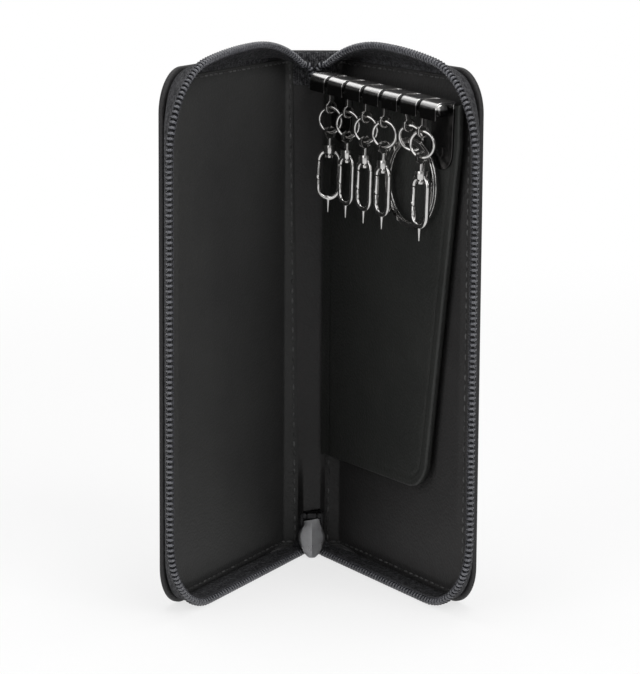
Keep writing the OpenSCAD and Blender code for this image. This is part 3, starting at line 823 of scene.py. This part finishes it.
def puller_shield(name):
    """Leaf of the puller: flat at the back, with a ridge down its front and a slanted head."""
    rows = [np.linspace(PULLER_FOOT, 1.5, 12), np.linspace(1.5, PULLER_TOP, 41)[1:]]
    z = np.concatenate(rows)[:, None]
    half = np.array([0.06, 0.25, 0.5, 0.75, 0.9, 0.97, 1])
    share = np.concatenate([-half[::-1], [0], half])[None, :]
    x = puller_width(z) * share
    rim = np.minimum(puller_width(z) * (1 - np.abs(share)), z - PULLER_FOOT)
    ridge = PULLER_RIDGE_T * (1 - np.abs(x) / PULLER_RIDGE_W)
    thick = edge_height(PULLER_EDGE_T + ridge, PULLER_RIM_SHARE, rim, PULLER_ROUND)
    slanted = z + PULLER_SLANT * x * smooth((z - PULLER_SLANT_FROM) / PULLER_SLANT_RUN)
    plane = PULLER_BACK - PULLER_LEAN * (PULLER_TOP - z) / PULLER_TOP
    plane = np.broadcast_to(plane, x.shape)
    front = np.stack([x, plane - thick, slanted], axis=-1)
    cut = PULLER_CUT * smooth(z - PULLER_TOP + 1)
    back = np.stack([x, plane, slanted - cut], axis=-1)
    return plate(name, front, back, np.stack([x, slanted], axis=-1), 25)


def puller_barrel(name):
    """Eye of the puller round the slider's pin, and the neck that joins it to the shield."""
    share = np.array([-1, -0.98, -0.9, 0.9, 0.98, 1])
    path = np.array(PIVOT) + np.outer(share * BARREL_HALF, (1, 0, 0))
    radii = BARREL_R * np.array([0.7, 0.9, 1, 1, 0.9, 0.7])
    eye = tube(path, radii, (0, 0, 1), 24)
    neck = np.linspace((0, PIVOT[1], PIVOT[2] - 0.3), (0, PULLER_BACK - 0.45, NECK_FOOT), 6)
    return joined(name, [eye, tube(neck, NECK_R, (1, 0, 0), 16)], 40)


# Materials: texture scales are per metre, bump heights in metres, yarns in millimetres
GRAIN = 0.00036
WARP_PITCH = 0.62
WEFT_PITCH = 0.42


def material(name):
    """A new material with its node tree and its shader."""
    mat = bpy.data.materials.new(name)
    mat.use_nodes = True
    tree = mat.node_tree
    return mat, tree, tree.nodes["Principled BSDF"]


def node(tree, kind, **values):
    """A node with its sockets or properties set. A socket's underscores stand for spaces."""
    made = tree.nodes.new(kind)
    for key, value in values.items():
        plain = key.replace("_", " ")
        if plain in made.inputs:
            made.inputs[plain].default_value = value
        else:
            setattr(made, key, value)
    return made


def math_node(tree, operation, a, b=None):
    """Output of a math node. a and b are numbers or outputs of other nodes."""
    made = tree.nodes.new("ShaderNodeMath")
    made.operation = operation
    for k, value in enumerate((a, b)):
        if value is None:
            continue
        if isinstance(value, (int, float)):
            made.inputs[k].default_value = value
        else:
            tree.links.new(value, made.inputs[k])
    return made.outputs[0]


def ramp(tree, source, low, high, dark, light):
    """Maps source between low and high to two colours."""
    made = tree.nodes.new("ShaderNodeValToRGB")
    made.color_ramp.elements[0].position = low
    made.color_ramp.elements[0].color = (*dark, 1)
    made.color_ramp.elements[1].position = high
    made.color_ramp.elements[1].color = (*light, 1)
    tree.links.new(source, made.inputs[0])
    return made.outputs[0]


def spread(tree, source, low, high):
    """Maps source from between 0 and 1 to between low and high."""
    made = tree.nodes.new("ShaderNodeMapRange")
    made.inputs["To Min"].default_value = low
    made.inputs["To Max"].default_value = high
    tree.links.new(source, made.inputs["Value"])
    return made.outputs[0]


def object_place(tree):
    """Place in the object's own frame, in metres."""
    return tree.nodes.new("ShaderNodeTexCoord").outputs["Object"]


def mixed(tree, *parts):
    """Sum of outputs, each times its weight."""
    total = None
    for source, weight in parts:
        term = math_node(tree, "MULTIPLY", source, weight)
        total = term if total is None else math_node(tree, "ADD", total, term)
    return total


def noise(tree, place, scale, detail=3.0, rough=0.55):
    """Clouds of noise at a scale per metre."""
    made = node(tree, "ShaderNodeTexNoise", Scale=scale, Detail=detail, Roughness=rough)
    tree.links.new(place, made.inputs["Vector"])
    return made.outputs["Fac"]


def bump(tree, shader, height, distance, strength):
    """Lights the shader as if a height raised it, by distance in metres where height is 1."""
    made = node(tree, "ShaderNodeBump", Strength=strength, Distance=distance)
    tree.links.new(height, made.inputs["Height"])
    tree.links.new(made.outputs[0], shader.inputs["Normal"])


def leather(name, dark, light, rough=(0.5, 0.68)):
    """Fine-grained leather: pebbles and pores, clouded colour and worn roughness."""
    mat, tree, shader = material(name)
    place = object_place(tree)
    cell = node(tree, "ShaderNodeTexVoronoi", Scale=1500.0, Randomness=0.95, feature="SMOOTH_F1")
    cell.inputs["Smoothness"].default_value = 0.6
    tree.links.new(place, cell.inputs["Vector"])
    fine = noise(tree, place, 5200.0, 2.0)
    folds = noise(tree, place, 420.0, 4.0, 0.6)
    clouds = noise(tree, place, 45.0, 3.0)
    height = mixed(tree, (cell.outputs["Distance"], -0.7), (fine, 0.35), (folds, 0.6))
    bump(tree, shader, height, GRAIN, 0.45)
    tone = mixed(tree, (clouds, 0.7), (fine, 0.3))
    tree.links.new(ramp(tree, tone, 0.3, 0.7, dark, light), shader.inputs["Base Color"])
    worn = mixed(tree, (folds, 0.6), (clouds, 0.4))
    tree.links.new(spread(tree, worn, *rough), shader.inputs["Roughness"])
    shader.inputs["Specular IOR Level"].default_value = 0.35
    return mat


def woven(name, dark, light):
    """Woven tape: crossed yarns at the tape's own scale, with loose fibres."""
    mat, tree, shader = material(name)
    uv = tree.nodes.new("ShaderNodeUVMap")
    uv.uv_map = "UVMap"
    split = tree.nodes.new("ShaderNodeSeparateXYZ")
    tree.links.new(uv.outputs[0], split.inputs[0])
    across = math_node(tree, "MULTIPLY", split.outputs[1], 2 * math.pi / WARP_PITCH)
    warp = math_node(tree, "SINE", across)
    slant = math_node(tree, "ADD", split.outputs[0], math_node(tree, "MULTIPLY", warp, 0.12))
    along = math_node(tree, "MULTIPLY", slant, 2 * math.pi / WEFT_PITCH)
    weft = math_node(tree, "SINE", along)
    cross = math_node(tree, "MULTIPLY", warp, weft)
    fibre = noise(tree, object_place(tree), 2000.0, 4.0, 0.75)
    patches = noise(tree, object_place(tree), 900.0, 2.0)
    height = math_node(tree, "ADD", math_node(tree, "MULTIPLY", cross, 0.35), fibre)
    bump(tree, shader, height, 0.00022, 0.9)
    tone = mixed(tree, (fibre, 0.7), (patches, 0.3), (cross, 0.1))
    tree.links.new(ramp(tree, tone, 0.46, 0.62, dark, light), shader.inputs["Base Color"])
    shader.inputs["Roughness"].default_value = 0.85
    shader.inputs["Specular IOR Level"].default_value = 0.15
    return mat


def filament(name, dark, light, low, high, scale=1400.0, gloss=0.5):
    """Nylon or thread with a soft sheen and fine strands."""
    mat, tree, shader = material(name)
    place = object_place(tree)
    tone = noise(tree, place, scale, 3.0)
    # Tone varies at random; for the seam thread the light end stands for painted glints.
    tree.links.new(ramp(tree, tone, 0.4, 0.62, dark, light), shader.inputs["Base Color"])
    tree.links.new(spread(tree, tone, low, high), shader.inputs["Roughness"])
    shader.inputs["Specular IOR Level"].default_value = gloss
    bump(tree, shader, noise(tree, place, 6000.0, 2.0), 0.00004, 0.5)
    return mat


def metal(name, colour, low, high):
    """Plated metal with faint waves, worn spots and a varying gloss."""
    mat, tree, shader = material(name)
    place = object_place(tree)
    wear = noise(tree, place, 700.0, 4.0, 0.6)
    waves = noise(tree, place, 180.0, 2.0)
    shade = tuple(c * 0.82 for c in colour)
    tree.links.new(ramp(tree, wear, 0.35, 0.65, shade, colour), shader.inputs["Base Color"])
    tree.links.new(spread(tree, wear, low, high), shader.inputs["Roughness"])
    bump(tree, shader, waves, 0.0001, 0.25)
    shader.inputs["Metallic"].default_value = 1.0
    return mat


def rail_metal(name, below, above, low, high, start, end):
    """Plated metal whose tone changes with the height over the rail's rod, from start to end: a
    painted highlight or painted shade by height.
    """
    mat, tree, shader = material(name)
    place = object_place(tree)
    along = (
        math.sin(PAGE_TURN) * math.cos(RAIL_SLOPE),
        -math.cos(PAGE_TURN) * math.cos(RAIL_SLOPE),
        -math.sin(RAIL_SLOPE),
    )
    upright = unit(np.array([0, 0, 1]) - np.array(along) * along[2])
    dot = node(tree, "ShaderNodeVectorMath", operation="DOT_PRODUCT")
    tree.links.new(place, dot.inputs[0])
    dot.inputs[1].default_value = tuple(upright)
    height = math_node(tree, "SUBTRACT", dot.outputs["Value"], float(RAIL_ORIGIN @ upright) * MM)
    wear = noise(tree, place, 900.0, 3.0)
    # Noise that makes the edge of the painted light uneven.
    worn = math_node(tree, "MULTIPLY", math_node(tree, "SUBTRACT", wear, 0.5), 0.6 * MM)
    # Blend by height that places the painted highlight or painted shade.
    painted_light_by_height = node(tree, "ShaderNodeMapRange", interpolation_type="SMOOTHSTEP")
    painted_light_by_height.inputs["From Min"].default_value = start * MM
    painted_light_by_height.inputs["From Max"].default_value = end * MM
    tree.links.new(math_node(tree, "ADD", height, worn), painted_light_by_height.inputs["Value"])
    tone = ramp(tree, painted_light_by_height.outputs[0], 0.0, 1.0, below, above)
    tree.links.new(tone, shader.inputs["Base Color"])
    tree.links.new(spread(tree, wear, low, high), shader.inputs["Roughness"])
    bump(tree, shader, noise(tree, place, 180.0, 2.0), 0.0001, 0.25)
    shader.inputs["Metallic"].default_value = 1.0
    return mat


def board_card(name, dark, light):
    """Grey-brown card with short fibres."""
    mat, tree, shader = material(name)
    tone = noise(tree, object_place(tree), 900.0, 5.0, 0.7)
    tree.links.new(ramp(tree, tone, 0.3, 0.7, dark, light), shader.inputs["Base Color"])
    shader.inputs["Roughness"].default_value = 0.9
    bump(tree, shader, tone, 0.00008, 0.6)
    return mat


RAIL_ORIGIN = on_page(np.array(RAIL_START), RAIL_OUT, RAIL_Z)
SOFT = (0.55, 0.72)
OUTER = leather("outer_leather", (0.014, 0.0135, 0.014), (0.026, 0.025, 0.026))
# The linings are one leather in two copies: the left one painted lighter as painted light, the
# right one painted darker as painted shade.
LINING_LIT_LEFT = leather("lining_leather", (0.028, 0.028, 0.028), (0.039, 0.039, 0.038), SOFT)
LINING_SHADED_RIGHT = leather("lining_leather_shaded_right", (0.02, 0.0195, 0.0195), (0.03, 0.029, 0.029), SOFT)
PAGE = leather("page_leather", (0.018, 0.019, 0.018), (0.027, 0.028, 0.026), (0.45, 0.62))
TAPE = woven("zip_tape_weave", (0.018, 0.018, 0.02), (0.125, 0.125, 0.132))
COIL = filament("zip_coil_nylon", (0.055, 0.056, 0.065), (0.11, 0.112, 0.125), 0.18, 0.3, gloss=0.8)
# Near-black core: a filler cord whose colour is painted shade in the gaps between the coil's loops.
COIL_CORE_PAINTED_SHADE = filament("coil_core_cord_painted_shade", (0.004, 0.004, 0.005), (0.01, 0.01, 0.012), 0.7, 0.85)
COIL_SEW = filament("coil_sewing", (0.018, 0.018, 0.02), (0.045, 0.045, 0.05), 0.5, 0.7)
# Seam thread: dark, with lighter patches that are painted glints on some stitches.
THREAD_WITH_PAINTED_GLINTS = filament("seam_thread_painted_glints", (0.024, 0.024, 0.024), (0.1, 0.1, 0.1), 0.35, 0.55, 420.0)
# Rail: dark black nickel, with the knuckle tops painted bright as a painted highlight.
RAIL_PAINTED_HIGHLIGHT = rail_metal(
    "black_nickel_rail_painted_highlight", (0.07, 0.068, 0.068), (0.92, 0.91, 0.9), 0.2, 0.3, -0.2, 0.35
)
# Hooks: painted near black where they pass the knuckle gaps, as painted shade; their own lighter
# tone lower down.
HOOK_PAINTED_SHADE = rail_metal(
    "black_nickel_hook", (0.45, 0.44, 0.43), (0.012, 0.012, 0.012), 0.12, 0.24, -3.2, -2.2
)
RING_METAL = metal("black_nickel_ring", (0.62, 0.61, 0.6), 0.1, 0.2)
CLASP_METAL = metal("black_nickel_clasp", (0.62, 0.61, 0.6), 0.1, 0.2)
SLIDER_METAL = metal("slider_black", (0.03, 0.03, 0.031), 0.35, 0.5)
PULLER_METAL = metal("puller_satin", (0.36, 0.36, 0.37), 0.24, 0.34)
BOARD = board_card("board_card", (0.13, 0.1, 0.07), (0.2, 0.16, 0.11))


def paint(obj, mat):
    """Gives an object one material."""
    obj.data.materials.clear()
    obj.data.materials.append(mat)
    return obj


def crossing(side, obj, mat, slot, replaced, start, end):
    """Paints a piece, bakes its place into its mesh and hides the frame's pieces that it replaces.
    """
    paint(obj, mat)
    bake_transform(obj)
    if replaced:
        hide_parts(*replaced)
    return obj


def in_metres(side, x, y):
    """A place on the floor, mirrored for the left side."""
    return (side * x * MM, y * MM, 0)


def lining_face(side):
    """Surface that the stitches of a lining lie on."""
    return lambda s, z, lift: on_leather(side, s, lining_high(s, z) + lift, z)


def outer_face(side):
    """Surface that the stitches of the outer leather lie on."""
    return lambda s, z, lift: on_leather(side, s, outer_low(s, z) + lift, z)


# Leather, zip and seams of the two halves, with two places of each half's bend between the spine
# and its cover.
FOLD_MID = (FOLD_START + 0.1, 0.0)
FOLD_LAST = tuple(float(v) for v in on_leather(1, np.array(FOLD_END), 0, 0)[:2])
TAPE_MID = (1.2, -2.6)
TAPE_LAST = (2.9, -5.3)
LINING_PATH = panel_path(
    LINING_EDGE, LINING_FOOT, LINING_HEAD, LINING_R,
    SEAM_IN, LINING_START_FOOT, LINING_START_TOP, True,
)
OUTER_PATH = panel_path(EDGE_S, 0, CASE_H, CORNER_R, SHELL_SEAM, -SHELL_SEAM, -SHELL_SEAM, False)

for side, half in ((-1, "left"), (1, "right")):
    fold = (in_metres(side, *FOLD_MID), in_metres(side, *FOLD_LAST))
    bend = (in_metres(side, *TAPE_MID), in_metres(side, *TAPE_LAST))
    shells = ["left_shell", "spine_shell"] if side < 0 else ["right_shell"]
    outer = outer_leather(side, f"outer_{half}")
    crossing(side, outer, OUTER, "outer_leather", shells, *fold)
    cover = lining(side, f"lining_{half}")
    # The left lining takes the painted-light copy, the right lining the painted-shade copy.
    cover_look = LINING_LIT_LEFT if side < 0 else LINING_SHADED_RIGHT
    crossing(side, cover, cover_look, "lining_leather", [f"{half}_lining"], *fold)

    sewn = joined(f"lining_stitches_{half}", stitch_row(LINING_PATH, lining_face(side)))
    crossing(side, sewn, THREAD_WITH_PAINTED_GLINTS, "lining_leather", None, *fold)
    sewn = joined(f"outer_stitches_{half}", stitch_row(OUTER_PATH, outer_face(side), -1))
    crossing(side, sewn, THREAD_WITH_PAINTED_GLINTS, "outer_leather", None, *fold)

    tape = zip_tape(side, f"zip_tape_{half}")
    crossing(side, tape, TAPE, "zip_tape", [f"{half}_tape"], *bend)
    coil = zip_coil(side, f"zip_coil_{half}")
    crossing(side, coil, COIL, "zip_coil", [f"{half}_coil"], *bend)
    core = coil_core(side, f"coil_core_{half}")
    crossing(side, core, COIL_CORE_PAINTED_SHADE, "zip_coil", None, *bend)
    sewing = coil_thread(side, f"coil_sewing_{half}")
    crossing(side, sewing, COIL_SEW, "zip_coil", None, *bend)

# The spine strip takes the right lining's painted-shade copy.
strip = paint(spine_strip("spine_strip"), LINING_SHADED_RIGHT)
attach(strip, "spine")
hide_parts("spine_lining")

tail = paint(zip_tail("zip_tail"), TAPE)
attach(tail, "spine")


# Page
for face, name, replaced in ((1, "page_front", "key_page"), (-1, "page_back", "key_page_back")):
    piece = paint(page_leather(face, name), PAGE)
    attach(piece, "page")
    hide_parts(replaced)

fold_strip = paint(page_fold("page_fold"), PAGE)
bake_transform(fold_strip)
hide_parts("page_root")


# Puller: a shield on an eye, in place of the frame's plainer one
shield = paint(puller_shield("puller_shield"), PULLER_METAL)
barrel = paint(puller_barrel("puller_barrel"), SLIDER_METAL)
for piece in (shield, barrel):
    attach(piece, "puller")
    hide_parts("zip_puller")


# Metal pieces keep the frame's meshes, with softened edges

def soften(obj, width):
    """Rounds the edges of a frame's mesh by modifiers alone."""
    weld = obj.modifiers.new("Weld", "WELD")
    weld.merge_threshold = 0.002 * MM
    bevel = obj.modifiers.new("Bevel", "BEVEL")
    bevel.width = width * MM
    bevel.segments = 2
    bevel.limit_method = "ANGLE"
    bevel.angle_limit = math.radians(38)
    obj.modifiers.new("Normals", "WEIGHTED_NORMAL")


METALS = {
    "hook_rail": (RAIL_PAINTED_HIGHLIGHT, 0.1),
    "rail_rod": (RAIL_PAINTED_HIGHLIGHT, 0.12),
    "rail_rivets": (RAIL_PAINTED_HIGHLIGHT, 0.12),
    "zip_top_stop": (SLIDER_METAL, 0.15),
    "zip_slider": (SLIDER_METAL, 0.15),
    "split_ring": (RING_METAL, 0.15),
}
for name, obj in nodes.items():
    if name in METALS:
        mat, width = METALS[name]
    elif name.startswith("hook_"):
        mat, width = HOOK_PAINTED_SHADE, 0.12
    elif name.startswith("jump_ring_"):
        mat, width = RING_METAL, 0.12
    elif name.startswith(("swivel_", "clasp_", "gate_")):
        mat, width = CLASP_METAL, 0.12
    elif name.endswith("_board"):
        mat, width = BOARD, None
    else:
        continue
    paint(obj, mat)
    if width:
        soften(obj, width)


# Stage, in metres: pale floor and backdrop
FLOOR_GLOW = 0.72
FLOOR_FADE = (0.12, 0.5)
SKY_GLOW = 0.32


def stage_piece():
    """A floor that sweeps up into a backdrop behind the case."""
    half, front, back, bend, rise = 1.6, -2.0, 1.1, 0.35, 1.7
    turn = np.linspace(0, math.pi / 2, 17)
    profile = [(front, 0.0), (back, 0.0)]
    profile += [(back + bend * math.sin(a), bend * (1 - math.cos(a))) for a in turn[1:]]
    profile.append((back + bend, rise))
    points = [(x * half, y, z) for y, z in profile for x in (-1, 1)]
    faces = [(2 * k, 2 * k + 1, 2 * k + 3, 2 * k + 2) for k in range(len(profile) - 1)]
    mesh = bpy.data.meshes.new("studio_floor")
    mesh.from_pydata(points, [], faces)
    mesh.polygons.foreach_set("use_smooth", [True] * len(faces))
    obj = bpy.data.objects.new("studio_floor", mesh)
    bpy.context.scene.collection.objects.link(obj)
    return obj


def white_floor(name):
    """White paper: lit near the case, plain white far behind it."""
    mat, tree, shader = material(name)
    shader.inputs["Base Color"].default_value = (0.93, 0.93, 0.93, 1)
    shader.inputs["Roughness"].default_value = 0.9
    shader.inputs["Specular IOR Level"].default_value = 0.1
    glow = node(tree, "ShaderNodeEmission", Strength=1.0)
    glow.inputs["Color"].default_value = (1, 1, 1, 1)
    path = tree.nodes.new("ShaderNodeLightPath")
    seen = math_node(tree, "MAXIMUM", path.outputs["Is Camera Ray"], path.outputs["Is Glossy Ray"])
    seen = math_node(tree, "MAXIMUM", seen, path.outputs["Is Transmission Ray"])
    split = tree.nodes.new("ShaderNodeSeparateXYZ")
    tree.links.new(object_place(tree), split.inputs[0])
    far = node(tree, "ShaderNodeMapRange", interpolation_type="SMOOTHSTEP")
    far.inputs["From Min"].default_value, far.inputs["From Max"].default_value = FLOOR_FADE
    far.inputs["To Min"].default_value = FLOOR_GLOW
    tree.links.new(split.outputs[1], far.inputs["Value"])
    mix = tree.nodes.new("ShaderNodeMixShader")
    tree.links.new(math_node(tree, "MULTIPLY", far.outputs[0], seen), mix.inputs[0])
    tree.links.new(shader.outputs[0], mix.inputs[1])
    tree.links.new(glow.outputs[0], mix.inputs[2])
    tree.links.new(mix.outputs[0], tree.nodes["Material Output"].inputs["Surface"])
    return mat


floor = paint(stage_piece(), white_floor("white_paper"))

world = bpy.data.worlds.new("studio")
world.use_nodes = True
sky = world.node_tree.nodes["Background"]
sky.inputs["Color"].default_value = (1, 1, 1, 1)
sky.inputs["Strength"].default_value = SKY_GLOW
bpy.context.scene.world = world


# Lamps: places and sizes in metres, power in watts
LAMP_AIM = (0, -0.02, 0.06)


def area_lamp(name, place, size, power):
    """A rectangular lamp that looks at the middle of the case."""
    data = bpy.data.lights.new(name, "AREA")
    data.shape = "RECTANGLE"
    data.size, data.size_y = size
    data.energy = power
    lamp = bpy.data.objects.new(name, data)
    lamp.location = place
    way = Vector(LAMP_AIM) - Vector(place)
    lamp.rotation_euler = way.to_track_quat("-Z", "Y").to_euler()
    bpy.context.scene.collection.objects.link(lamp)


area_lamp("key_lamp", (0.5, -0.8, 0.8), (0.8, 0.8), 6.2)
area_lamp("fill_lamp", (-0.65, -0.7, 0.5), (0.7, 0.9), 3.4)
area_lamp("top_lamp", (0.0, 0.1, 1.1), (0.8, 0.6), 5.0)


# Camera at the photograph's place: 640 by 674 pixels
IMAGE_W, IMAGE_H = 640, 674
FOCAL_PX = 2911.0
CENTRE_PX = (315.0, 318.1)
YAW, PITCH, ROLL = (math.radians(a) for a in (1.88, 9.83, 0.37))
TARGET = Vector((0, -20, 62.5))
DISTANCE = 697.5


def make_camera():
    """A camera that looks at the target from its distance."""
    data = bpy.data.cameras.new("camera")
    cam = bpy.data.objects.new("camera", data)
    bpy.context.scene.collection.objects.link(cam)
    level = math.cos(PITCH)
    forward = Vector((math.sin(YAW) * level, math.cos(YAW) * level, -math.sin(PITCH)))
    right = forward.cross(Vector((0, 0, 1))).normalized()
    up = right.cross(forward)
    turned_right = right * math.cos(ROLL) + up * math.sin(ROLL)
    turned_up = up * math.cos(ROLL) - right * math.sin(ROLL)
    place = (TARGET - forward * DISTANCE) * MM
    axes = Matrix((turned_right, turned_up, -forward)).transposed().to_4x4()
    cam.matrix_world = Matrix.Translation(place) @ axes
    long_side = max(IMAGE_W, IMAGE_H)
    data.sensor_width = 36
    data.lens = FOCAL_PX / long_side * data.sensor_width
    data.shift_x = (IMAGE_W / 2 - CENTRE_PX[0]) / long_side
    data.shift_y = (CENTRE_PX[1] - IMAGE_H / 2) / long_side
    data.clip_start = 0.05
    data.clip_end = 20
    bpy.context.scene.camera = cam


make_camera()
bpy.context.scene.view_settings.view_transform = "Standard"
